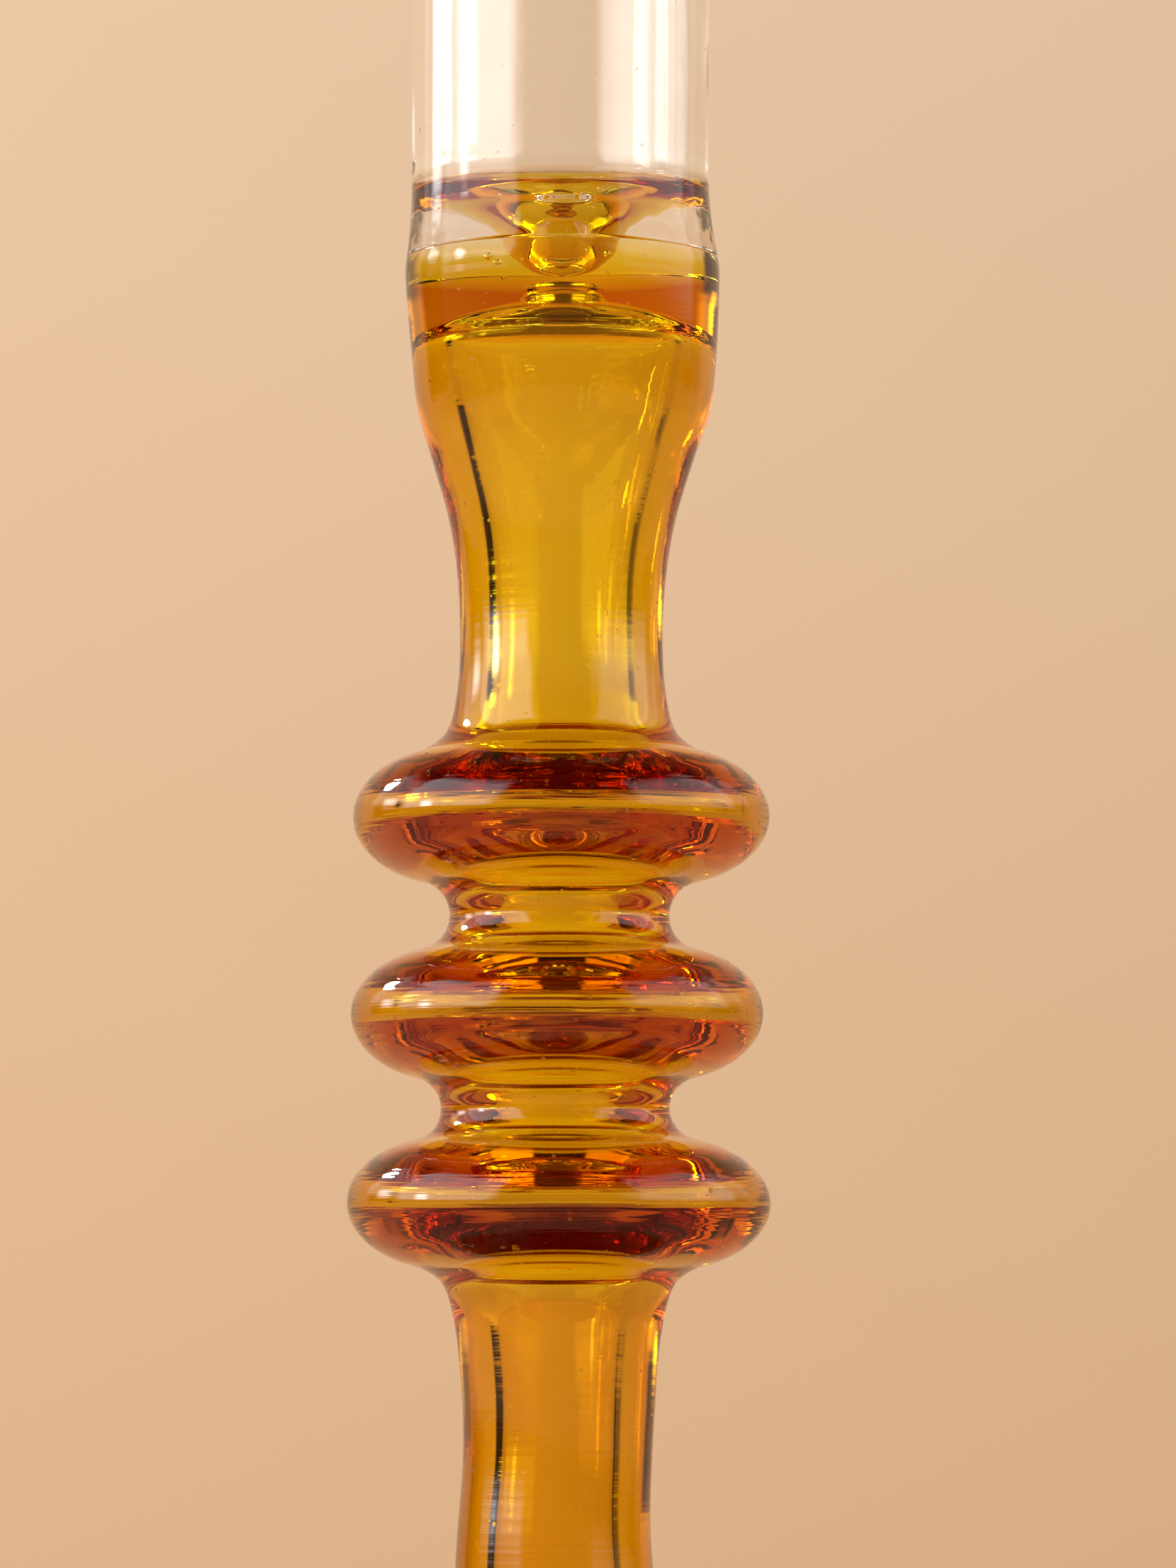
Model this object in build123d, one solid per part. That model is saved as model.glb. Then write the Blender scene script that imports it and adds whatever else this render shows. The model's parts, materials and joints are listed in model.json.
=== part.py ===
from build123d import *
from math import acos, degrees, sin
import os

# Glass candlestick, flame-worked from thick tube and fused into one body.
# Units are millimetres, +Z is up, and the origin is the centre of the
# footprint on the table.  Every piece is turned about Z, so each outline is
# drawn as (radius, height) and spun.

# ---- driving dimensions -------------------------------------------------
TOTAL_HEIGHT = 195.0

CUP_R = 14.0                 # 28 mm clear tube
CUP_BORE_R = 12.0            # takes a 22 mm taper candle with play
CUP_STRAIGHT_Z = 166.5       # below this the cup swells into the join
BORE_FLOOR_Z = 166.0         # lower end of the straight bore
FLOOR_EDGE_Z = 164.2         # where the floor meets the cup wall

SEAM_R = 14.7                # clear glass meets amber glass here
SEAM_Z = 158.7
WELL_FLOOR_Z = 156.65        # bottom of the small well under the cup
THROAT_R = 2.65              # small hole at the top of the amber tube
THROAT_Z = 155.6             # where the clear glass plugs that hole
THROAT_TOP_Z = 156.2         # the stem's hollow ends under the well

WAIST_R = 9.54               # narrowest outside radius of the baluster
WAIST_Z = 123.5
CHAMBER_R = 10.6             # widest inside radius of the baluster
CHAMBER_Z = 150.0
BORE_WAIST_R = 6.15          # narrowest inside radius of the baluster
BORE_WAIST_Z = 125.0

RING_CORE_R = 10.0           # centre of the oval that every ring follows
JOINT_R = 13.0               # outside radius where a ring meets its neighbour
JOINT_BORE_R = 7.4           # inside radius at the same place
WALL = 4.2                   # glass left at the edge of a ring

STEM_R = 8.82                # narrowest part of the lower stem
STEM_Z = 45.5
STEM_BORE_R = 5.2
STEM_END_Z = 30.0            # lower stem meets foot
STEM_END_R = 9.95
STEM_END_BORE_R = 6.0
HOLLOW_END_Z = 14.5          # closed lower end of the hollow

FOOT_R = 42.0
FOOT_RIM = 6.0               # thickness at the edge of the foot
GROUND_R = 34.0              # inner edge of the ground ring it stands on
FOOT_RECESS = 1.8            # hollow under the foot, at its centre

LIP = 0.9                    # fire-polished rounding of the cup's rim

# each ring: its node, outside radius, height of its middle and half its height
RINGS = {
    "ring_upper": (19.55, 106.05, 6.45),
    "ring_middle": (19.3, 87.55, 6.35),
    "ring_lower": (19.8, 69.85, 6.3),
}
# each short neck: its node, the rings above and below, its narrowest outside
# and inside radius
NECKS = {
    "neck_upper": ("ring_upper", "ring_middle", 10.3, 5.6),
    "neck_lower": ("ring_middle", "ring_lower", 10.7, 5.7),
}


# ---- shared outlines ----------------------------------------------------
def spun(*edges):
    """Turn a closed outline of (radius, height) edges into a solid."""
    return revolve(Plane.XZ * make_face(edges), Axis.Z)


def flow(*points, leave, arrive):
    """Smooth curve through the points, leaving and arriving as given."""
    return Spline(*points, tangents=(leave, arrive), tangent_scalars=(1, 1))


def joint_z(ring, side):
    """Height of a ring's flat joint: side is 1 above and -1 below."""
    radius, middle, half_height = RINGS[ring]
    reach = acos((JOINT_R - RING_CORE_R) / (radius - RING_CORE_R))
    return middle + side * half_height * sin(reach)


def joint_face(ring, side):
    """Flat joint of a ring, from its hollow out to its skin."""
    height = joint_z(ring, side)
    return Line((JOINT_BORE_R, height), (JOINT_R, height))


def cup_underside():
    """Where clear glass meets amber: a shallow dish from throat to seam."""
    return flow((THROAT_R, THROAT_Z), (7.8, 156.5), (SEAM_R, SEAM_Z),
                leave=(1, 0.05), arrive=(1, 0.1))


# ---- the pieces ---------------------------------------------------------
def candle_cup():
    """Clear cup: straight tube, funnel floor, and the small well below it."""
    lip_r = (CUP_R + CUP_BORE_R) / 2
    rim = ThreePointArc((CUP_R, TOTAL_HEIGHT - LIP), (lip_r, TOTAL_HEIGHT),
                        (CUP_BORE_R, TOTAL_HEIGHT - LIP))
    outside = Line((CUP_R, CUP_STRAIGHT_Z), rim @ 0)
    swell = flow((SEAM_R, SEAM_Z), (14.35, 161.2), outside @ 0,
                 leave=(-0.08, 1), arrive=(0, 1))
    bore = Line(rim @ 1, (CUP_BORE_R, BORE_FLOOR_Z))
    corner = flow(bore @ 1, (11.3, FLOOR_EDGE_Z), (9.2, 163.2),
                  leave=(0, -1), arrive=(-1, -0.35))
    funnel = flow(corner @ 1, (5.6, 161.5), (3.85, 159.5), (2.7, 157.9),
                  (0, WELL_FLOOR_Z), leave=(-1, -0.35), arrive=(-1, 0))
    axis = Line(funnel @ 1, (0, THROAT_TOP_Z))
    plug = flow(axis @ 1, (1.9, 156.1), (THROAT_R, THROAT_Z),
                leave=(1, 0), arrive=(0, -1))
    return spun(rim, bore, corner, funnel, axis, plug, cup_underside(),
                swell, outside)


def baluster():
    """Amber upper stem: a domed chamber that narrows to a waist."""
    top = joint_face("ring_upper", 1)
    skin = flow((SEAM_R, SEAM_Z), (14.83, 156.7), (14.45, 150.5),
                (13.85, 144.7), (12.3, 139.6), (10.7, 134.1),
                (9.84, 128.8), (WAIST_R, WAIST_Z), (9.75, 118.2),
                (10.75, 114.1), top @ 1, leave=(0.08, -1), arrive=(1, -0.25))
    throat = Line((THROAT_R, THROAT_Z), (THROAT_R, 154.9))
    dome = flow(throat @ 1, (3.2, 154.45), (7.5, 153.3), (10.1, 151.7),
                (CHAMBER_R, CHAMBER_Z), leave=(0, -1), arrive=(0, -1))
    bore = flow(dome @ 1, (9.3, 144.2), (7.3, 136.0),
                (BORE_WAIST_R, BORE_WAIST_Z), (6.4, 118.0), top @ 0,
                leave=(0, -1), arrive=(0.6, -1))
    return spun(cup_underside(), skin, top, bore, dome, throat)


def ring(name):
    """One bulge of the tube, with a hollow that closes to a narrow slit."""
    radius, middle, half_height = RINGS[name]
    swell = radius - RING_CORE_R
    reach = degrees(acos((JOINT_R - RING_CORE_R) / swell))
    skin = EllipticalCenterArc((RING_CORE_R, middle), swell, half_height,
                               -reach, arc_size=2 * reach)
    tip = (radius - WALL, middle)
    faces = [joint_face(name, side) for side in (1, -1)]
    slit = []
    for side, face in zip((1, -1), faces):
        slit.append(flow(face @ 0, (9.0, middle + side * 3.4),
                         (12.8, middle + side * 1.7), tip,
                         leave=(0.55, -side), arrive=(0, -side)))
    return spun(skin, *faces, *slit)


def neck(name):
    """Short waist between two rings, a hollow with an even wall."""
    above, below, waist_r, bore_r = NECKS[name]
    top, bottom = joint_face(above, -1), joint_face(below, 1)
    middle = (joint_z(above, -1) + joint_z(below, 1)) / 2
    skin = ThreePointArc(top @ 1, (waist_r, middle), bottom @ 1)
    bore = ThreePointArc(top @ 0, (bore_r, middle), bottom @ 0)
    return spun(top, skin, bottom, bore)


def lower_stem():
    """Amber lower stem, from the lowest ring down to the foot."""
    top = joint_face("ring_lower", -1)
    bottom = Line((STEM_END_BORE_R, STEM_END_Z), (STEM_END_R, STEM_END_Z))
    skin = flow(top @ 1, (10.85, 62.3), (9.7, 58.4), (9.12, 53.0),
                (STEM_R, STEM_Z), (9.15, 37.0), bottom @ 1,
                leave=(-1, -0.25), arrive=(0.15, -1))
    bore = flow(top @ 0, (5.9, 60.0), (STEM_BORE_R, 49.0), bottom @ 0,
                leave=(-0.6, -1), arrive=(0.05, -1))
    return spun(top, skin, bottom, bore)


def foot():
    """Solid amber foot, a thick disc drawn up into the stem."""
    top = Line((STEM_END_BORE_R, STEM_END_Z), (STEM_END_R, STEM_END_Z))
    edge_r = FOOT_R - FOOT_RIM / 2
    edge = ThreePointArc((edge_r, FOOT_RIM), (FOOT_R, FOOT_RIM / 2),
                         (edge_r, 0))
    flare = flow(top @ 1, (13.0, 20.8), (22.0, 11.2), edge @ 0,
                 leave=(0.15, -1), arrive=(1, -0.1))
    ground = Line(edge @ 1, (GROUND_R, 0))
    recess = TangentArc((0, FOOT_RECESS), ground @ 1, tangent=(1, 0))
    axis = Line(recess @ 0, (0, HOLLOW_END_Z))
    hollow = flow(top @ 0, (5.0, 18.5), axis @ 1,
                  leave=(0.05, -1), arrive=(-1, 0))
    return spun(top, flare, edge, ground, recess, axis, hollow)


# ---- write one STEP for each piece --------------------------------------
os.makedirs("parts", exist_ok=True)
pieces = {"candle_cup": candle_cup(), "baluster": baluster()}
for name in RINGS:
    pieces[name] = ring(name)
for name in NECKS:
    pieces[name] = neck(name)
pieces["lower_stem"] = lower_stem()
pieces["foot"] = foot()
for name, shape in pieces.items():
    export_step(shape, f"parts/{name}.step")
    print(name, f"{shape.volume:.0f} mm3")
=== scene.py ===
# %% [markdown]
# # A glass candlestick in clear and amber
#
# This lesson builds the look of a flame-worked candlestick. A clear tube holds the
# candle. Below it a thick amber tube was blown into a baluster, pinched into three
# hollow rings, drawn into a slim stem and set on a round foot.
#
# Glass is all about thickness. Light bends at every wall, and the amber gets darker
# the longer the way through it, so the inside of each piece matters as much as its
# outside. The frame gives the sizes, and everything here is in metres.

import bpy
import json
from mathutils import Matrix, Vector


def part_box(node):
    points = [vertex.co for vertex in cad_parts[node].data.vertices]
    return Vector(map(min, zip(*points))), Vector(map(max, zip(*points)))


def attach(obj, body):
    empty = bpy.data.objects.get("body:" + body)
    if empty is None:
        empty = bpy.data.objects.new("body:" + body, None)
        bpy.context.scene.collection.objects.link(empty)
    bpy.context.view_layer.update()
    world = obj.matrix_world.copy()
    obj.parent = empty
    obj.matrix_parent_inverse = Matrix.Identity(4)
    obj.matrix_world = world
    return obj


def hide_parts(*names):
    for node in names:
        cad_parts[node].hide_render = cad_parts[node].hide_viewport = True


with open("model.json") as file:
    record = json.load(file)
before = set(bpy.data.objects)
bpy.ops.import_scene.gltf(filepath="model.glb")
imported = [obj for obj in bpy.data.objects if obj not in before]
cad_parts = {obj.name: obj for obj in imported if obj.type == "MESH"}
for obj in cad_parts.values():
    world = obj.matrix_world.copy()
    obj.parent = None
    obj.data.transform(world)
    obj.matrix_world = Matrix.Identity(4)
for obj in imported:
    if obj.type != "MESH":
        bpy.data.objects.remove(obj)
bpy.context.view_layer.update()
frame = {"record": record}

# %% Tools for this lesson
import json
from bisect import bisect_left
from math import acos, atan2, cos, hypot, pi, radians, sin, sqrt

import bpy
from mathutils import Vector

bpy.ops.object.select_all(action="DESELECT")
MM = 0.001

# %% [markdown]
# ## Read the sizes from the frame
#
# Each part of the candlestick is round, so its box says nearly all: the radius, and
# the heights where it meets its neighbours. Outlines are drawn in millimetres, as
# (radius, height), because that is how a glassworker's sketch is marked. They are
# turned into metres when they are drawn.

# %% Radius, bottom and top of each turned part
def turned_size(node):
    """Radius, bottom and top of a part, in millimetres."""
    low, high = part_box(node)
    return high.x / MM, low.z / MM, high.z / MM


SEAM_R, THROAT_Z, RIM_Z = turned_size("candle_cup")
SEAM_Z = turned_size("baluster")[2]
STEM_END_Z = turned_size("lower_stem")[1]
FOOT_R = turned_size("foot")[0]
BORE_R = frame["record"]["mounts"][0]["dims"]["r_mm"]
TUBE_WALL = 2.0
TUBE_R = BORE_R + TUBE_WALL
print("seam", round(SEAM_R, 2), "at", round(SEAM_Z, 2), "rim at", round(RIM_Z, 2))

# %% The three rings
CORE_R = 10.0      # centre of the oval that every ring follows
JOINT_R = 13.0     # outside radius where a ring meets its neighbour


def ring_size(node):
    """Radius, middle height and half height of a ring's oval."""
    radius, bottom, top = turned_size(node)
    reach = acos((JOINT_R - CORE_R) / (radius - CORE_R))
    return radius, (bottom + top) / 2, (top - bottom) / 2 / sin(reach)


RINGS = [ring_size(node) for node in ("ring_upper", "ring_middle", "ring_lower")]
for radius, middle, half_height in RINGS:
    print("ring", round(radius, 2), "at", round(middle, 2), "half height", round(half_height, 2))

# %% [markdown]
# ## Smooth lines from few points
#
# Hot glass only makes flowing lines. Three small helpers draw them: `flow` is a smooth
# line through a few chosen points, `oval` is the outer edge of a ring, and `arc` is a
# round line through three points, used for the short necks between the rings.

# %% Line helpers
def flow(points, steps=6):
    """Smooth line through the points, with that many short pieces between two."""
    ends = [points[0], *points, points[-1]]
    line = []
    for before, start, end, after in zip(ends, ends[1:], ends[2:], ends[3:]):
        for step in range(steps):
            t = step / steps
            line.append(tuple(
                b + 0.5 * t * (c - a + t * (2 * a - 5 * b + 4 * c - d + t * (3 * (b - c) + d - a)))
                for a, b, c, d in zip(before, start, end, after)))
    return line + [tuple(points[-1])]


def oval(radius, middle, half_height, steps=24):
    """Outer edge of a ring, from its upper joint round to its lower joint."""
    swell = radius - CORE_R
    reach = acos((JOINT_R - CORE_R) / swell)
    turns = [reach - 2 * reach * step / steps for step in range(steps + 1)]
    return [(CORE_R + swell * cos(turn), middle + half_height * sin(turn)) for turn in turns]


def arc(start, waist_r, end, steps=12):
    """Hollow curve between two joints of equal radius, narrowest at waist_r."""
    half = (start[1] - end[1]) / 2
    depth = start[0] - waist_r
    radius = (half * half + depth * depth) / (2 * depth)
    centre_r = waist_r + radius
    middle = (start[1] + end[1]) / 2
    spread = atan2(half, centre_r - start[0])
    turns = [spread - 2 * spread * step / steps for step in range(1, steps)]
    return [(centre_r - radius * cos(turn), middle + radius * sin(turn)) for turn in turns]


print("a flow of three points becomes", len(flow([(0, 0), (1, 1), (2, 0)])), "points")

# %% [markdown]
# ## Draw by extruding, then spin
#
# The whole object was made turning in a flame, so a spin is the honest way to model
# it. A plane is added and merged into one point, that point is extruded along the
# outline, and the line is spun about Z. Doubles are merged afterwards, which closes
# the seam and the two poles, and only then are the normals made to point outwards.

# %% Extrude an outline and spin it
SPIN_STEPS = 160
MERGE_REACH = MM / 1000


def spin_outline(name, outline):
    """Turned piece from an outline that starts and ends on the axis."""
    start_r, start_z = outline[0]
    bpy.ops.mesh.primitive_plane_add(size=MM, location=(start_r * MM, 0, start_z * MM))
    piece = bpy.context.object
    piece.name = piece.data.name = name
    bpy.ops.object.transform_apply()
    bpy.ops.object.mode_set(mode="EDIT")
    bpy.ops.mesh.merge(type="CENTER")
    for (r, z), (next_r, next_z) in zip(outline, outline[1:]):
        step = ((next_r - r) * MM, 0, (next_z - z) * MM)
        bpy.ops.mesh.extrude_region_move(TRANSFORM_OT_translate={"value": step})
    bpy.ops.mesh.select_all(action="SELECT")
    bpy.ops.mesh.spin(steps=SPIN_STEPS, angle=2 * pi, center=(0, 0, 0), axis=(0, 0, 1))
    bpy.ops.mesh.select_all(action="SELECT")
    bpy.ops.mesh.remove_doubles(threshold=MERGE_REACH)
    bpy.ops.mesh.normals_make_consistent(inside=False)
    bpy.ops.object.mode_set(mode="OBJECT")
    bpy.ops.object.shade_smooth()
    print(name, len(piece.data.vertices), "vertices from", len(outline), "outline points")
    return piece


# %% [markdown]
# ## The amber outline
#
# The amber is one hollow body. Its outline starts at the closed lower end of the
# hollow, climbs the inside to the throat, crosses the shallow dish where the clear
# glass sits, and comes down the outside to the foot. The inside widens to a narrow
# slit in every ring, because a pinched tube folds its hollow outwards. The slit lies a
# little above the middle of its ring, which puts the bright band where it belongs.

# %% The dish where clear meets amber
THROAT_R = 2.65
DISH = flow([(THROAT_R, THROAT_Z), (5.0, 155.85), (7.8, 156.5), (10.0, 157.3),
             (12.0, 158.15), (SEAM_R, SEAM_Z)])
DISH_R = [r for r, z in DISH]


def dish_height(r):
    """Height of the dish at radius r."""
    place = min(max(bisect_left(DISH_R, r), 1), len(DISH) - 1)
    (inner_r, inner_z), (outer_r, outer_z) = DISH[place - 1:place + 1]
    return inner_z + (r - inner_r) / (outer_r - inner_r) * (outer_z - inner_z)


# %% Inside of one ring
RING_WALL = 4.2    # glass left at the outer edge of a ring
FOLD_RISE = 0.3    # the fold lies a little above the middle of its ring


def ring_hollow(radius, middle, top, bottom):
    """Hollow of a ring, from its upper joint out into the slit and back."""
    tip = radius - RING_WALL
    middle += FOLD_RISE
    upper = [(9.0, 3.2), (12.0, 1.5), (14.0, 0.95), (tip - 0.25, 0.6)]
    line = [top] + [(r, middle + rise) for r, rise in upper] + [(tip, middle)]
    return line + [(r, middle - rise) for r, rise in reversed(upper)] + [bottom]


# %% The whole inside of the amber, from the throat down
OVALS = [oval(*ring) for ring in RINGS]
JOINTS = [(line[0][1], line[-1][1]) for line in OVALS]
NECK_BORES = [5.6, 5.7]
END_JOINT_BORE = 7.8       # inside radius above the first ring and below the last
INNER_JOINT_BORE = 7.4     # inside radius at the joints between the rings
hollow = [(THROAT_R, THROAT_Z), (THROAT_R, 154.95), (3.2, 154.45), (5.0, 153.95), (7.5, 153.2),
          (9.2, 152.4), (10.2, 151.5), (10.6, 150.0), (9.3, 144.2), (7.3, 136.0), (6.5, 131.0),
          (6.15, 125.0), (6.3, 119.5), (6.65, 115.5)]
for number, ((radius, middle, _), (top, bottom)) in enumerate(zip(RINGS, JOINTS)):
    top_r = END_JOINT_BORE if number == 0 else INNER_JOINT_BORE
    bottom_r = END_JOINT_BORE if number == 2 else INNER_JOINT_BORE
    hollow += ring_hollow(radius, middle, (top_r, top), (bottom_r, bottom))
    if number < 2:
        hollow.append((NECK_BORES[number], (bottom + JOINTS[number + 1][0]) / 2))
hollow += [(6.35, 61.3), (5.75, 59.0), (5.35, 54.0), (5.2, 49.0), (5.3, 43.5), (5.6, 37.0),
           (6.0, STEM_END_Z), (5.9, 24.0), (5.0, 18.5), (3.0, 15.4), (0.0, 14.5)]
inside_line = flow(hollow, 5)
print("inside line:", len(inside_line), "points, narrowest bore", min(NECK_BORES), "mm")

# %% The outside, from the seam down to the foot
FOOT_RIM = 3.0     # radius of the rounded edge of the foot
NECK_WAISTS = [10.3, 10.7]     # outside radius of the necks at their narrowest
skin = flow([(SEAM_R, SEAM_Z), (14.83, 156.7), (14.45, 150.5), (13.85, 144.7), (12.3, 139.6),
             (10.7, 134.1), (9.84, 128.8), (9.54, 123.5), (9.75, 118.2), (10.75, 114.1),
             OVALS[0][0]], 7)[:-1]
skin += OVALS[0] + arc(OVALS[0][-1], NECK_WAISTS[0], OVALS[1][0])
skin += OVALS[1] + arc(OVALS[1][-1], NECK_WAISTS[1], OVALS[2][0]) + OVALS[2]
edge_r = FOOT_R - FOOT_RIM
skin += flow([OVALS[2][-1], (10.85, 62.3), (9.7, 58.4), (9.12, 53.0), (8.82, 45.5), (9.15, 37.0),
              (9.95, STEM_END_Z), (13.0, 20.8), (22.0, 11.2), (edge_r, 2 * FOOT_RIM)], 7)[1:]
skin += [(edge_r + FOOT_RIM * sin(pi * step / 12), FOOT_RIM * (1 + cos(pi * step / 12)))
         for step in range(1, 13)]
skin += flow([(34.0, 0.0), (17.0, 1.35), (0.0, 1.8)], 4)
print("outside line:", len(skin), "points")

# %% Spin the amber
amber_stem = spin_outline("amber_stem", inside_line[::-1] + DISH[1:] + skin[1:])

# %% [markdown]
# ## The clear cup
#
# A clear tube was fused onto the amber while both were soft. Its floor sank into a
# funnel with a small well at the centre, where a tool was pushed in. The underside of
# the cup follows the amber dish, a hair lower, so that the two pieces of glass
# overlap instead of leaving a thin film of air between them.

# %% The cup's outline
OVERLAP = 0.03         # how far the cup dips into the amber along the dish
LIP = 0.9              # height of the rounded lip
TUBE_FOOT_Z = 166.5    # the straight outer wall starts here
FUNNEL_TOP_Z = 168.0   # the straight bore ends here
WALL_ROWS = 9
tube_top = RIM_Z - LIP
lip_r = (TUBE_R + BORE_R) / 2
lip_half = (TUBE_R - BORE_R) / 2
plug = flow([(0.0, 156.2), (2.0, 156.1), (THROAT_R - 0.02, THROAT_Z)], 4)[:-1]
underside = [(r, z - OVERLAP) for r, z in DISH]
swell = flow([(SEAM_R, SEAM_Z), (14.35, 161.2), (14.12, 163.6), (TUBE_R, TUBE_FOOT_Z)], 6)[1:]
outer_wall = [(TUBE_R, TUBE_FOOT_Z + (tube_top - TUBE_FOOT_Z) * step / WALL_ROWS)
              for step in range(1, WALL_ROWS)]
lip = [(lip_r + lip_half * cos(pi * step / 12), tube_top + LIP * sin(pi * step / 12))
       for step in range(13)]
bore_wall = [(BORE_R, tube_top + (FUNNEL_TOP_Z - tube_top) * step / WALL_ROWS)
             for step in range(1, WALL_ROWS)]
funnel = flow([(BORE_R, FUNNEL_TOP_Z), (BORE_R, 165.7), (11.2, 164.2), (9.2, 163.2), (7.3, 162.5),
               (5.7, 161.6), (4.6, 160.6), (3.85, 159.6), (3.4, 158.85), (2.7, 157.95),
               (1.7, 157.1), (0.0, 156.65)], 6)
clear_cup = spin_outline("clear_cup", plug + underside + swell + outer_wall + lip + bore_wall + funnel)

# %% [markdown]
# ## Mark the fused faces
#
# Where two glasses have melted together there is no surface any more, only a change
# of colour. Both pieces still need closed meshes there. So the faces of the dish get
# a mark, `fused`, and the materials later turn their surface off where they see it.

# %% Select the dish faces and mark them
FUSED_REACH = 0.09     # how far from the dish a marked face may lie, in millimetres
THROAT_SLACK = 0.05    # how far inside the throat the marked faces start
SEAM_SLACK = 0.01      # how far short of the seam they end


def mark_fused(piece):
    """Give the faces along the dish a fused value of 1."""
    bpy.context.view_layer.objects.active = piece
    mark = piece.data.attributes.new("fused", "FLOAT", "FACE")
    marked = 0
    for face in piece.data.polygons:
        r = hypot(face.center.x, face.center.y) / MM
        z = face.center.z / MM
        if (THROAT_R - THROAT_SLACK < r < SEAM_R - SEAM_SLACK
                and abs(z - dish_height(r)) < FUSED_REACH):
            mark.data[face.index].value = 1.0
            marked += 1
    print(piece.name, marked, "fused faces")


mark_fused(amber_stem)
mark_fused(clear_cup)

# %% [markdown]
# ## Seeds
#
# Small air bubbles, called seeds, stay behind where hot glass closes over itself. A
# seed is a tiny closed surface whose faces point into the air, so each one is added
# in edit mode as a ball, stretched along the way the glass was pulled, and flipped.

# %% Blow a few seeds
def add_seeds(piece, seeds):
    """Air bubbles at (x, y, height), with a radius and an upright stretch."""
    bpy.ops.object.select_all(action="DESELECT")
    bpy.context.view_layer.objects.active = piece
    piece.select_set(True)
    bpy.ops.object.mode_set(mode="EDIT")
    for x, y, z, radius, stretch in seeds:
        centre = (x * MM, y * MM, z * MM)
        bpy.ops.mesh.select_all(action="DESELECT")
        bpy.ops.mesh.primitive_ico_sphere_add(subdivisions=3, radius=radius * MM, location=centre)
        bpy.ops.transform.resize(value=(1, 1, stretch), center_override=centre)
        bpy.ops.mesh.flip_normals()
        bpy.ops.mesh.faces_shade_smooth()
    bpy.ops.object.mode_set(mode="OBJECT")
    print(piece.name, "has", len(seeds), "seeds")


add_seeds(clear_cup, [(-5.2, -2.6, 158.3, 0.32, 0.9), (3.4, -5.4, 158.1, 0.3, 1.0),
                      (1.9, -5.0, 158.4, 0.16, 1.0), (-3.6, 4.4, 158.6, 0.24, 1.2)])
add_seeds(amber_stem, [(-5.0, -10.0, 155.4, 0.2, 1.0), (11.8, -3.4, 150.6, 0.12, 1.8),
                       (-12.4, 2.2, 147.0, 0.14, 2.2), (8.9, 3.2, 131.0, 0.1, 2.6)])

# %% [markdown]
# ## A hand-made drift
#
# No tube turns perfectly true in the hand. A lattice is a cage that bends whatever is
# inside it. Its rows are pushed a few tenths of a millimetre sideways, and both pieces
# get the same cage, so that they still meet along the dish.

# %% Push the rows of a cage sideways
# height: drift to the right and away, in millimetres
DRIFT = {0: (0.0, 0.0), 26: (-0.3, 0.0), 38: (-0.55, 0.1), 50: (-0.1, 0.2), 70: (-0.1, 0.1),
         79: (-0.45, -0.1), 88: (-0.25, -0.2), 97: (-0.05, -0.1), 106: (0.12, 0.1),
         123: (0.13, 0.2), 136: (0.22, 0.2), 148: (0.4, 0.15), 156: (0.25, 0.0),
         166: (0.02, -0.1), 195: (0.08, -0.15)}
CAGE_WIDTH = 0.1
CAGE_ROWS = 40
heights = sorted(DRIFT)


def drift_at(height):
    """Sideways drift in metres at a height, eased between the listed ones."""
    place = min(max(bisect_left(heights, height), 1), len(heights) - 1)
    low, high = heights[place - 1:place + 1]
    t = (height - low) / (high - low)
    ease = t * t * (3 - 2 * t)
    return [(a + (b - a) * ease) * MM for a, b in zip(DRIFT[low], DRIFT[high])]


cage_height = RIM_Z * MM
bpy.ops.object.add(type="LATTICE", location=(0, 0, cage_height / 2))
cage = bpy.context.object
cage.scale = (CAGE_WIDTH, CAGE_WIDTH, cage_height)
cage.data.points_u = cage.data.points_v = 2
cage.data.points_w = CAGE_ROWS
cage.data.interpolation_type_u = cage.data.interpolation_type_v = "KEY_LINEAR"
cage.data.interpolation_type_w = "KEY_CARDINAL"
for point in cage.data.points:
    side_x, side_y = drift_at((point.co.z + 0.5) * cage_height / MM)
    point.co_deform.x += side_x / CAGE_WIDTH
    point.co_deform.y += side_y / CAGE_WIDTH
for piece in (amber_stem, clear_cup):
    bpy.ops.object.select_all(action="DESELECT")
    bpy.context.view_layer.objects.active = piece
    piece.select_set(True)
    modifier = piece.modifiers.new("hand_drift", "LATTICE")
    modifier.object = cage
    bpy.ops.object.modifier_apply(modifier=modifier.name)
bpy.data.objects.remove(cage)
print("largest drift in mm:", max(hypot(*side) for side in DRIFT.values()))

# %% [markdown]
# ## Effects shared by both glasses
#
# Each effect is a node group with named inputs. It puts out a height or a mask and
# never a shader, so the same effect can sit in clear glass and in amber glass with
# its own values. Patterns read Object coordinates, because every piece sits at the
# origin and the pattern then has one scale all over the candlestick.

# %% Helpers for node groups
def new_effect(name, inputs, output):
    """Empty effect with named number inputs, a Vector, and one number output."""
    tree = bpy.data.node_groups.new(name, "ShaderNodeTree")
    tree.interface.new_socket("Vector", in_out="INPUT", socket_type="NodeSocketVector")
    for label, value in inputs.items():
        socket = tree.interface.new_socket(label, in_out="INPUT", socket_type="NodeSocketFloat")
        socket.default_value = value
    tree.interface.new_socket(output, in_out="OUTPUT", socket_type="NodeSocketFloat")
    return tree, tree.nodes.new("NodeGroupInput"), tree.nodes.new("NodeGroupOutput")


def math(tree, operation, *values):
    """Math node fed with numbers or outputs; gives its own output."""
    node = tree.nodes.new("ShaderNodeMath")
    node.operation = operation
    for socket, value in zip(node.inputs, values):
        if isinstance(value, (int, float)):
            socket.default_value = value
        else:
            tree.links.new(value, socket)
    return node.outputs[0]


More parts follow.
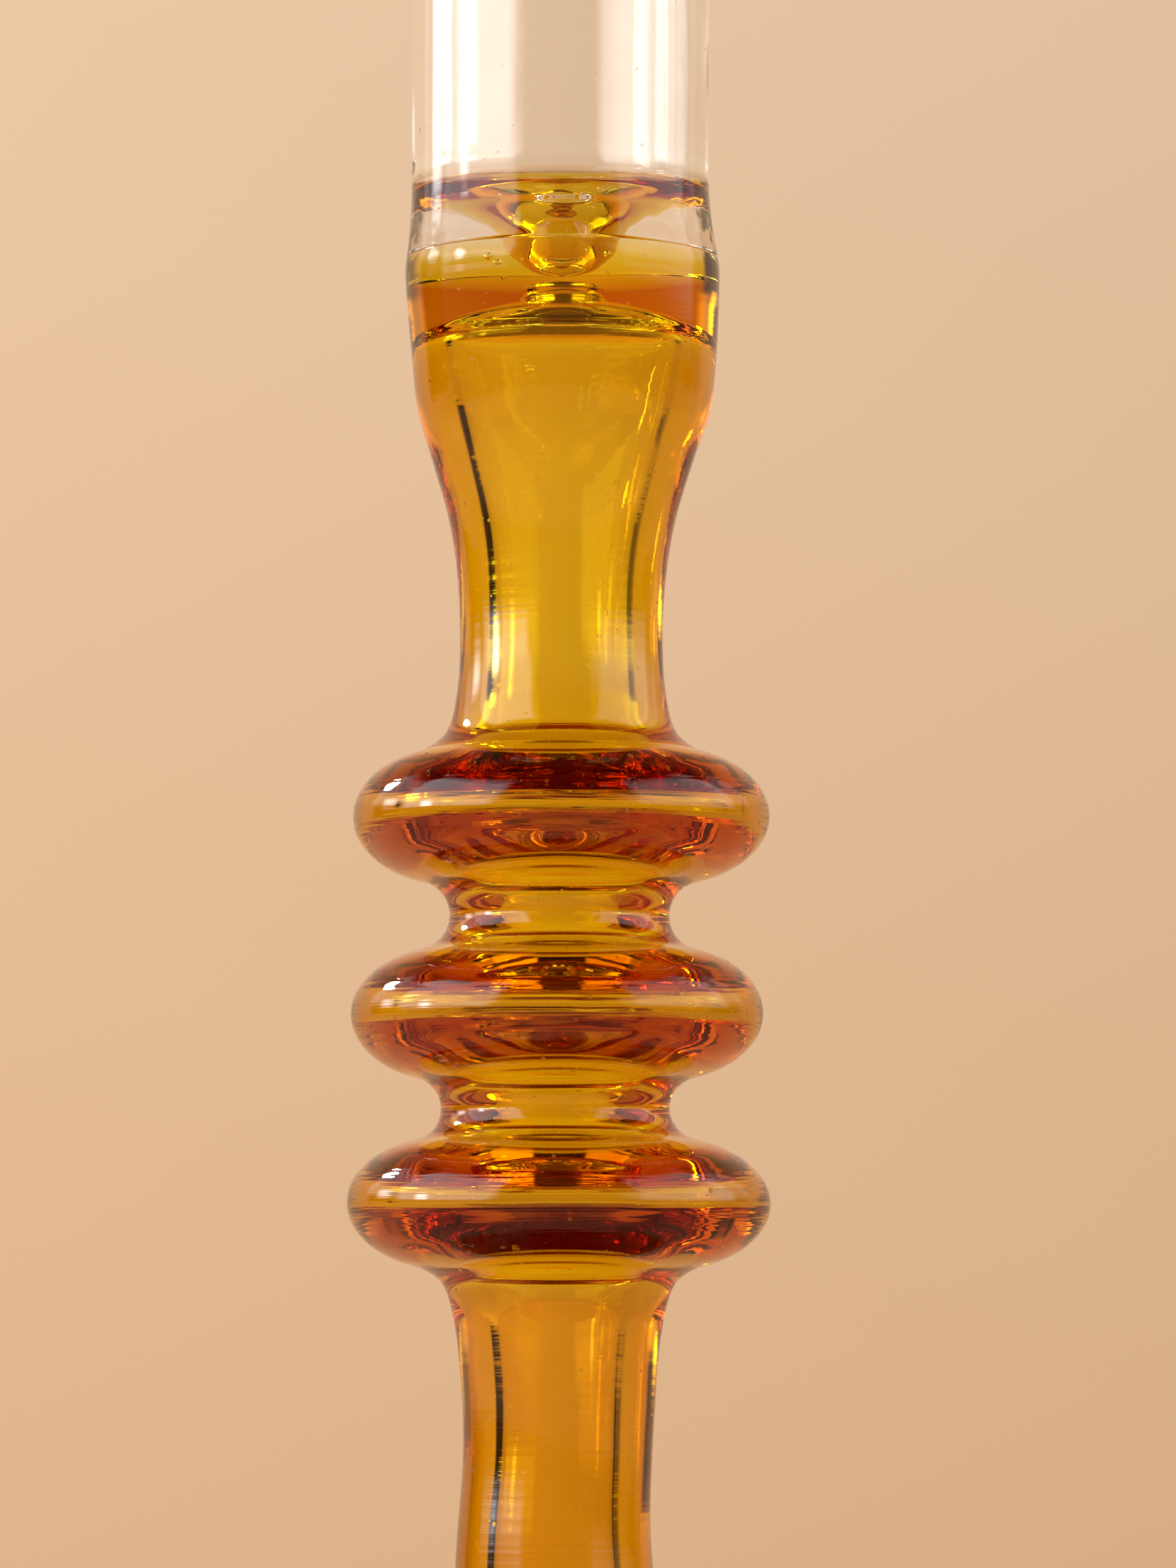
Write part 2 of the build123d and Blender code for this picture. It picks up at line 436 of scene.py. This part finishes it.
def noise(tree, vector, scale, detail=1.0):
    """Noise texture at that scale; gives its grey output."""
    node = tree.nodes.new("ShaderNodeTexNoise")
    node.inputs["Detail"].default_value = detail
    for label, value in (("Vector", vector), ("Scale", scale)):
        if isinstance(value, (int, float)):
            node.inputs[label].default_value = value
        else:
            tree.links.new(value, node.inputs[label])
    return node.outputs["Fac"]


# %% [markdown]
# The first effect is the slow unevenness of fire-polished glass. The flame melts the
# surface smooth, but never quite flat, so reflections wander a little.

# %% Effect: fire polish
fire_polish, given, result = new_effect("fire_polish", {"Waves per metre": 90.0}, "Height")
soft_waves = noise(fire_polish, given.outputs["Vector"], given.outputs["Waves per metre"])
fire_polish.links.new(soft_waves, result.inputs["Height"])

# %% [markdown]
# The second effect is the fine ripple that the turning leaves. It runs in level lines
# round the glass. A noise that only looks at the height gives uneven level lines, and
# a little of a second noise bends them so that they aren't machine-made.

# %% Effect: turning ripples
BEND_WAVES = 160.0     # waves per metre of the noise that bends the lines
turning_ripples, given, result = new_effect(
    "turning_ripples", {"Lines per metre": 1500.0, "Bend": 0.0004}, "Height")
apart = turning_ripples.nodes.new("ShaderNodeSeparateXYZ")
turning_ripples.links.new(given.outputs["Vector"], apart.inputs["Vector"])
bend = noise(turning_ripples, given.outputs["Vector"], BEND_WAVES)
bend = math(turning_ripples, "MULTIPLY", bend, given.outputs["Bend"])
level = math(turning_ripples, "ADD", apart.outputs["Z"], bend)
lines = turning_ripples.nodes.new("ShaderNodeTexNoise")
lines.noise_dimensions = "1D"
lines.inputs["Detail"].default_value = 2.0
turning_ripples.links.new(level, lines.inputs["W"])
turning_ripples.links.new(given.outputs["Lines per metre"], lines.inputs["Scale"])
turning_ripples.links.new(lines.outputs["Fac"], result.inputs["Height"])

# %% [markdown]
# The third effect is dust and tiny pits: small dots, a few to the square centimetre.
# A Voronoi texture gives one dot to each cell, and a slow noise decides how large
# each dot may be, so that most cells stay clean.

# %% Effect: specks
CLEAN_PATCHES = 700.0    # waves per metre of the noise that leaves most cells clean
CLEAN_SHARE = 0.56       # noise below this leaves its cell clean
GROWTH = 8.0             # how fast a dot grows above it
specks, given, result = new_effect("specks", {"Cells per metre": 600.0, "Size": 0.12}, "Mask")
cells = specks.nodes.new("ShaderNodeTexVoronoi")
specks.links.new(given.outputs["Vector"], cells.inputs["Vector"])
specks.links.new(given.outputs["Cells per metre"], cells.inputs["Scale"])
chance = noise(specks, given.outputs["Vector"], CLEAN_PATCHES)
chance = math(specks, "SUBTRACT", chance, CLEAN_SHARE)
largest = math(specks, "MULTIPLY", chance, given.outputs["Size"])
largest = math(specks, "MULTIPLY", largest, GROWTH)
dots = math(specks, "LESS_THAN", cells.outputs["Distance"], largest)
specks.links.new(dots, result.inputs["Mask"])
print("specks leave cells clean where their noise is below", CLEAN_SHARE)

# %% [markdown]
# The fourth effect is the colour that amber takes on when it is heated again and again,
# which glassworkers call striking. The rings were worked longest, and turned browner.
# It is a mask between two heights and outside a radius, so it can serve for the tool
# marks round the seam as well.

# %% Effect: struck band
BAND_EDGE = 0.002     # the mask fades over this many metres
struck, given, result = new_effect(
    "struck", {"Bottom": 0.062, "Top": 0.113, "Inner": 0.0125}, "Mask")
apart = struck.nodes.new("ShaderNodeSeparateXYZ")
struck.links.new(given.outputs["Vector"], apart.inputs["Vector"])
x, y, z = apart.outputs
squares = math(struck, "ADD", math(struck, "MULTIPLY", x, x), math(struck, "MULTIPLY", y, y))
mask = 1.0
for high, low in ((math(struck, "SQRT", squares), given.outputs["Inner"]),
                  (z, given.outputs["Bottom"]), (given.outputs["Top"], z)):
    past = math(struck, "DIVIDE", math(struck, "SUBTRACT", high, low), BAND_EDGE)
    mask = math(struck, "MINIMUM", past, mask)
struck.links.new(math(struck, "MAXIMUM", mask, 0.0), result.inputs["Mask"])
print("effects:", [tree.name for tree in bpy.data.node_groups])

# %% [markdown]
# ## Glass as a material
#
# Both glasses are a clear Principled surface with full transmission. Nearly all the
# colour comes from a Volume Absorption inside, so thick places are deep brown and thin
# walls are honey yellow, as in the real thing. A faint tint of the surface is left for
# what absorption can't do, a colour that changes from place to place. The `fused` mark
# switches the surface off by Alpha, and the volume goes on.

# %% Base of both glasses
SODA_GLASS_IOR = 1.47
WATER_WHITE = (1.0, 1.0, 1.0)


def blown_glass(name, absorbed, density):
    """Glass coloured by its thickness; density is per metre. Gives its nodes too."""
    material = bpy.data.materials.new(name)
    material.use_nodes = True
    tree = material.node_tree
    surface = tree.nodes["Principled BSDF"]
    surface.inputs["Base Color"].default_value = (*WATER_WHITE, 1.0)
    surface.inputs["IOR"].default_value = SODA_GLASS_IOR
    surface.inputs["Transmission Weight"].default_value = 1.0
    inner = tree.nodes.new("ShaderNodeVolumeAbsorption")
    inner.inputs["Color"].default_value = (*absorbed, 1.0)
    inner.inputs["Density"].default_value = density
    tree.links.new(inner.outputs["Volume"], tree.nodes["Material Output"].inputs["Volume"])
    fused = tree.nodes.new("ShaderNodeAttribute")
    fused.attribute_name = "fused"
    tree.links.new(math(tree, "SUBTRACT", 1.0, fused.outputs["Fac"]), surface.inputs["Alpha"])
    where = tree.nodes.new("ShaderNodeTexCoord").outputs["Object"]
    return material, tree, surface, where


print("bare glass passes all light and bends it by", SODA_GLASS_IOR)


# %% Helpers to dress the glass
def place_effect(tree, effect, where, values):
    """Put an effect into a material with its own values; gives its output."""
    node = tree.nodes.new("ShaderNodeGroup")
    node.node_tree = effect
    tree.links.new(where, node.inputs["Vector"])
    for label, value in values.items():
        node.inputs[label].default_value = value
    return node.outputs[0]


def raise_surface(tree, height, depth, under=None):
    """Bump of that depth in metres; gives a normal to pass on."""
    bump = tree.nodes.new("ShaderNodeBump")
    bump.inputs["Strength"].default_value = 1.0
    bump.inputs["Distance"].default_value = depth
    tree.links.new(height, bump.inputs["Height"])
    if under is not None:
        tree.links.new(under, bump.inputs["Normal"])
    return bump.outputs["Normal"]


def blend(tree, factor, first, second):
    """Colour between two colours, each a tuple or an output."""
    node = tree.nodes.new("ShaderNodeMix")
    node.data_type = "RGBA"
    tree.links.new(factor, node.inputs["Factor"])
    for socket, colour in ((node.inputs[6], first), (node.inputs[7], second)):
        if isinstance(colour, tuple):
            socket.default_value = (*colour, 1.0)
        else:
            tree.links.new(colour, socket)
    return node.outputs[2]


print("surface tints and bumps are ready")

# %% [markdown]
# Dents and dust are the same on both glasses. A joint is closed by nudging the soft
# glass with a tool, which leaves small dents round the seam. Dust only roughens the
# surface where it lies.

# %% Dents round the seam, and dust
SEAM_BAND = {"Bottom": 0.1565, "Top": 0.165, "Inner": 0.0125}
DENTS = {"Waves per metre": 420.0}
DENT_DEPTH = 0.00012
WAVE_DEPTH = 0.00012
DUST_ROUGHNESS = 0.5


def tool_marks(tree, where, under):
    """Small dents in a band round the seam, where the two tubes were joined."""
    band = place_effect(tree, struck, where, SEAM_BAND)
    dents = place_effect(tree, fire_polish, where, DENTS)
    return raise_surface(tree, math(tree, "MULTIPLY", band, dents), DENT_DEPTH, under)


def dusty(tree, surface, where, values):
    """Roughen the surface where there is dust."""
    dust = place_effect(tree, specks, where, values)
    tree.links.new(math(tree, "MULTIPLY", dust, DUST_ROUGHNESS), surface.inputs["Roughness"])


print("dents are", DENT_DEPTH / MM, "mm deep at most")

# %% Amber glass
AMBER_KEPT = (0.972, 0.888, 0.0)     # light kept, red green blue; blue is absorbed first
AMBER_DENSITY = 600.0
AMBER_DUST = {"Cells per metre": 1100.0, "Size": 0.2}
RIPPLE_DEPTH = 0.000007
EDGE_RIPPLE_DEPTH = 0.00003          # deeper on the outer edge of the rings
RING_EDGE = {"Inner": 0.0165}
RING_TINT = (0.96, 0.95, 0.9)
STEM_BAND = {"Bottom": 0.0, "Top": 0.062, "Inner": 0.0}
STEM_TINT = (1.0, 0.88, 0.8)
amber_glass, tree, surface, where = blown_glass("blown_amber", AMBER_KEPT, AMBER_DENSITY)
waves = place_effect(tree, fire_polish, where, {"Waves per metre": 90.0})
ripples = place_effect(tree, turning_ripples, where, {"Lines per metre": 1300.0})
edge_ripples = math(tree, "MULTIPLY", ripples, place_effect(tree, struck, where, RING_EDGE))
normal = raise_surface(tree, waves, WAVE_DEPTH)
normal = raise_surface(tree, ripples, RIPPLE_DEPTH, normal)
normal = raise_surface(tree, edge_ripples, EDGE_RIPPLE_DEPTH, normal)
tree.links.new(tool_marks(tree, where, normal), surface.inputs["Normal"])
dusty(tree, surface, where, AMBER_DUST)
tint = blend(tree, place_effect(tree, struck, where, {}), WATER_WHITE, RING_TINT)
tint = blend(tree, place_effect(tree, struck, where, STEM_BAND), tint, STEM_TINT)
tree.links.new(tint, surface.inputs["Base Color"])
amber_stem.data.materials.append(amber_glass)
print(amber_glass.name, "on", amber_stem.name)

# %% Clear glass
CLEAR_KEPT = (0.985, 0.992, 0.99)
CLEAR_DENSITY = 60.0
CLEAR_DUST = {"Cells per metre": 650.0, "Size": 0.16}
clear_glass, tree, surface, where = blown_glass("blown_clear", CLEAR_KEPT, CLEAR_DENSITY)
waves = place_effect(tree, fire_polish, where, {"Waves per metre": 70.0})
normal = raise_surface(tree, waves, WAVE_DEPTH)
tree.links.new(tool_marks(tree, where, normal), surface.inputs["Normal"])
dusty(tree, surface, where, CLEAR_DUST)
clear_cup.data.materials.append(clear_glass)
print(clear_glass.name, "on", clear_cup.name)

# %% [markdown]
# ## Tie the pieces to the frame
#
# Nothing moves, so both pieces ride the one body. The amber stands for eight nodes of
# the design, because in the flame they became one piece of glass.

# %% Tie the pieces to the frame
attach(amber_stem, "root")
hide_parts("baluster", "ring_upper", "neck_upper", "ring_middle", "neck_lower",
            "ring_lower", "lower_stem", "foot")
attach(clear_cup, "root")
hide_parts("candle_cup")
print("tied:", amber_stem.name, clear_cup.name)

# %% [markdown]
# ## The table and the room
#
# Glass shows its surroundings more than itself. A lit peach backdrop stands behind, the
# rest of the room is dim, and overhead it is dark, which is what makes the tops of the
# rings dark. The floor is a pale disc whose edge fades out, so that no line crosses
# the background.

# %% A pale floor with a soft edge
FLOOR_COLOUR = (0.60, 0.40, 0.22, 1.0)
FLOOR_ROUGHNESS = 0.8
FLOOR_SOLID = 0.5      # the floor is solid to this radius, in metres
FLOOR_END = 0.7        # and gone at this one
FLOOR_SIDES = 96
bpy.ops.mesh.primitive_circle_add(vertices=FLOOR_SIDES, radius=FLOOR_END, fill_type="NGON")
floor = bpy.context.object
floor.name = "floor"
floor_finish = bpy.data.materials.new("pale_floor")
floor_finish.use_nodes = True
tree = floor_finish.node_tree
surface = tree.nodes["Principled BSDF"]
surface.inputs["Base Color"].default_value = FLOOR_COLOUR
surface.inputs["Roughness"].default_value = FLOOR_ROUGHNESS
where = tree.nodes.new("ShaderNodeTexCoord").outputs["Object"]
reach = tree.nodes.new("ShaderNodeVectorMath")
reach.operation = "LENGTH"
tree.links.new(where, reach.inputs[0])
fade = tree.nodes.new("ShaderNodeMapRange")
fade.interpolation_type = "SMOOTHSTEP"
for label, value in (("From Min", FLOOR_SOLID), ("From Max", FLOOR_END),
                     ("To Min", 1.0), ("To Max", 0.0)):
    fade.inputs[label].default_value = value
tree.links.new(reach.outputs["Value"], fade.inputs["Value"])
tree.links.new(fade.outputs["Result"], surface.inputs["Alpha"])
floor.data.materials.append(floor_finish)
print("floor fades out from", FLOOR_SOLID, "to", FLOOR_END, "m")

# %% [markdown]
# The room is drawn by direction alone. `around` is the turn to the left of straight
# back, and `upward` is the height of a direction, from -1 straight down to 1 straight
# up. Soft-edged windows in these two make the backdrop, the dark parts and the panels.

# %% Directions in the room
room = bpy.data.worlds.new("room")
bpy.context.scene.world = room
room.use_nodes = True
tree = room.node_tree
apart = tree.nodes.new("ShaderNodeSeparateXYZ")
tree.links.new(tree.nodes.new("ShaderNodeTexCoord").outputs["Generated"], apart.inputs["Vector"])
sideways, ahead, upward = apart.outputs
around = math(tree, "ARCTAN2", math(tree, "MULTIPLY", sideways, -1.0), ahead)
away = math(tree, "ABSOLUTE", around)


def remap(value, start, end, to_start, to_end, smooth=True):
    """Value carried from one range to another; gives the output."""
    node = tree.nodes.new("ShaderNodeMapRange")
    node.interpolation_type = "SMOOTHSTEP" if smooth else "LINEAR"
    for label, number in (("From Min", start), ("From Max", end),
                          ("To Min", to_start), ("To Max", to_end)):
        node.inputs[label].default_value = number
    tree.links.new(value, node.inputs["Value"])
    return node.outputs["Result"]


def window(value, start, end, soft):
    """Mask that is 1 between start and end, with soft sides."""
    opens = remap(value, start - soft, start + soft, 0.0, 1.0)
    closes = remap(value, end - soft, end + soft, 1.0, 0.0)
    return math(tree, "MULTIPLY", opens, closes)


print("room:", room.name)

# %% A lit backdrop behind, a dim room in front
LOW_PEACH = (0.696, 0.415, 0.223)
HIGH_PEACH = (0.811, 0.571, 0.373)
WARM_CEILING = (0.85, 0.42, 0.17)
BACKDROP_HALF = radians(52)     # the paper backdrop reaches this far to each side
ROOM_DIM = 0.25                 # brightness of the room beside the backdrop
DARK_OVERHEAD = 0.2             # and of what is overhead
SIDE_SHADE = 0.85               # how much darker it gets above the sides
TABLE_BACK, TABLE_FRONT = 0.9, 0.3
paper = blend(tree, remap(upward, -0.1, 0.22, 0.0, 1.0, smooth=False), LOW_PEACH, HIGH_PEACH)
paper = blend(tree, remap(upward, 0.25, 0.6, 0.0, 1.0), paper, WARM_CEILING)
lit = remap(away, BACKDROP_HALF - 0.05, BACKDROP_HALF + 0.15, 1.0, ROOM_DIM)
dark_side = math(tree, "MULTIPLY", remap(away, 1.2, 1.8, 0.0, 1.0),
                 remap(upward, 0.35, 0.6, 0.0, SIDE_SHADE))
above = math(tree, "MULTIPLY", lit, math(tree, "SUBTRACT", 1.0, dark_side))
above = math(tree, "MULTIPLY", above, remap(upward, 0.5, 0.8, 1.0, DARK_OVERHEAD))
near_table = math(tree, "MULTIPLY", remap(upward, -0.06, 0.0, 1.0, 0.0),
                  remap(away, 0.9, 2.0, TABLE_BACK, TABLE_FRONT))
strength = math(tree, "MAXIMUM", above, near_table)
print("backdrop reaches", round(BACKDROP_HALF * 180 / pi), "degrees to each side")

# %% [markdown]
# Beside the backdrop the room is nearly black at table height. The tube and the stem
# bend these two dark stretches into the thin dark lines along their bores. The right
# side of the backdrop is a touch dimmer than the left.

# %% Two dark stretches beside the backdrop
GAP_DARK = 0.95
GAP_SOFT = 0.05
low_band = window(upward, -0.06, 0.15, 0.02)
left_gap = window(around, radians(54), radians(80), GAP_SOFT)
right_gap = window(around, -radians(80), -radians(67), GAP_SOFT)
gaps = math(tree, "MULTIPLY", math(tree, "MAXIMUM", left_gap, right_gap), low_band)
open_share = math(tree, "SUBTRACT", 1.0, math(tree, "MULTIPLY", gaps, GAP_DARK))
strength = math(tree, "MULTIPLY", strength, open_share)
left_to_right = remap(sideways, -0.1, 0.1, 1.05, 0.95, smooth=False)
strength = math(tree, "MULTIPLY", strength, left_to_right)
backdrop_light = tree.nodes["Background"]
tree.links.new(paper, backdrop_light.inputs["Color"])
tree.links.new(strength, backdrop_light.inputs["Strength"])
print("dark stretches at 54 to 80 degrees left and 67 to 80 right")

# %% [markdown]
# ## Studio light
#
# Large soft panels stand left and right and draw the long pale stripes on the tube. The
# left one has bright strips in it. They are soft-edged windows of white light in the
# room itself.

# %% Soft panels
# name: start and end, bottom and top, all in degrees, and brightness
PANELS = {"left_panel": (82, 141, 5, 10, 4.6), "left_upper": (80, 145, 10, 50, 3.0),
          "left_strip": (97, 103, 6, 12, 26.0), "left_far_strip": (64, 75, 8, 15, 8.0),
          "left_wing": (50, 82, 9, 40, 1.1), "right_panel": (-135, -69, 5, 50, 1.5),
          "right_upper": (-145, -75, 9, 20, 0.7), "right_wing": (-75, -52, 9, 40, 0.7)}
SOFT_SIDE = radians(4)
SOFT_END = 0.065
light = 0.0
for name, (start, end, bottom, top, brightness) in PANELS.items():
    across = window(around, radians(start), radians(end), SOFT_SIDE)
    along = window(upward, sin(radians(bottom)), sin(radians(top)), SOFT_END)
    panel = math(tree, "MULTIPLY", math(tree, "MULTIPLY", across, along), brightness)
    light = math(tree, "ADD", light, panel)
white_light = tree.nodes.new("ShaderNodeBackground")
white_light.inputs["Color"].default_value = (*WATER_WHITE, 1.0)
tree.links.new(light, white_light.inputs["Strength"])
both = tree.nodes.new("ShaderNodeAddShader")
tree.links.new(backdrop_light.outputs[0], both.inputs[0])
tree.links.new(white_light.outputs[0], both.inputs[1])
tree.links.new(both.outputs[0], tree.nodes["World Output"].inputs["Surface"])
print("panels:", list(PANELS))

# %% [markdown]
# A small bright lamp behind on the left gives each ring its white dot. It aims at the
# middle of the candlestick.

# %% Back lamp
AIM = Vector((0, 0, 0.11))
LAMP_TURN = radians(127)     # round to the left of the camera
LAMP_UP = radians(29)
LAMP_DISTANCE = 0.9
LAMP_SIZE = 0.16
LAMP_BRIGHTNESS = 60.0
way = Vector((-sin(LAMP_TURN) * cos(LAMP_UP), -cos(LAMP_TURN) * cos(LAMP_UP), sin(LAMP_UP)))
bpy.ops.object.light_add(type="AREA", location=AIM + LAMP_DISTANCE * way)
lamp = bpy.context.object
lamp.name = "back_lamp"
lamp.rotation_euler = (-way).to_track_quat("-Z", "Y").to_euler()
lamp.data.shape = "DISK"
lamp.data.size = LAMP_SIZE
lamp.data.energy = LAMP_BRIGHTNESS * (pi * LAMP_SIZE / 2) ** 2
lamp.visible_camera = False
print("lamp at", [round(part, 2) for part in lamp.location])

# %% [markdown]
# ## The camera
#
# The camera stands a little below the middle of the stem and looks slightly up. A
# long lens from 0.6 m keeps the rings nearly level with each other.

# %% Camera
CAMERA_DISTANCE = 0.608
CAMERA_HEIGHT = 0.0656
AIM_HEIGHT = 0.1091
SIDE = 0.00263
VIEW_HEIGHT = 0.14707    # height of what the camera sees at the candlestick
SENSOR = 36.0
NEAR_CLIP = 0.01
GLASS_BOUNCES = 32       # light crosses many walls of glass before it leaves
OTHER_BOUNCES = 16
back = sqrt(CAMERA_DISTANCE ** 2 - (AIM_HEIGHT - CAMERA_HEIGHT) ** 2)
bpy.ops.object.camera_add(location=(SIDE, -back, CAMERA_HEIGHT))
camera = bpy.context.object
sight = Vector((SIDE, 0, AIM_HEIGHT)) - camera.location
camera.rotation_euler = sight.to_track_quat("-Z", "Y").to_euler()
camera.data.sensor_width = SENSOR
camera.data.lens = SENSOR * CAMERA_DISTANCE / VIEW_HEIGHT
camera.data.clip_start = NEAR_CLIP
scene = bpy.context.scene
scene.camera = camera
scene.view_settings.view_transform = "Standard"
scene.cycles.max_bounces = scene.cycles.transmission_bounces = GLASS_BOUNCES
scene.cycles.glossy_bounces = scene.cycles.transparent_max_bounces = OTHER_BOUNCES
print("lens", round(camera.data.lens, 1), "mm")
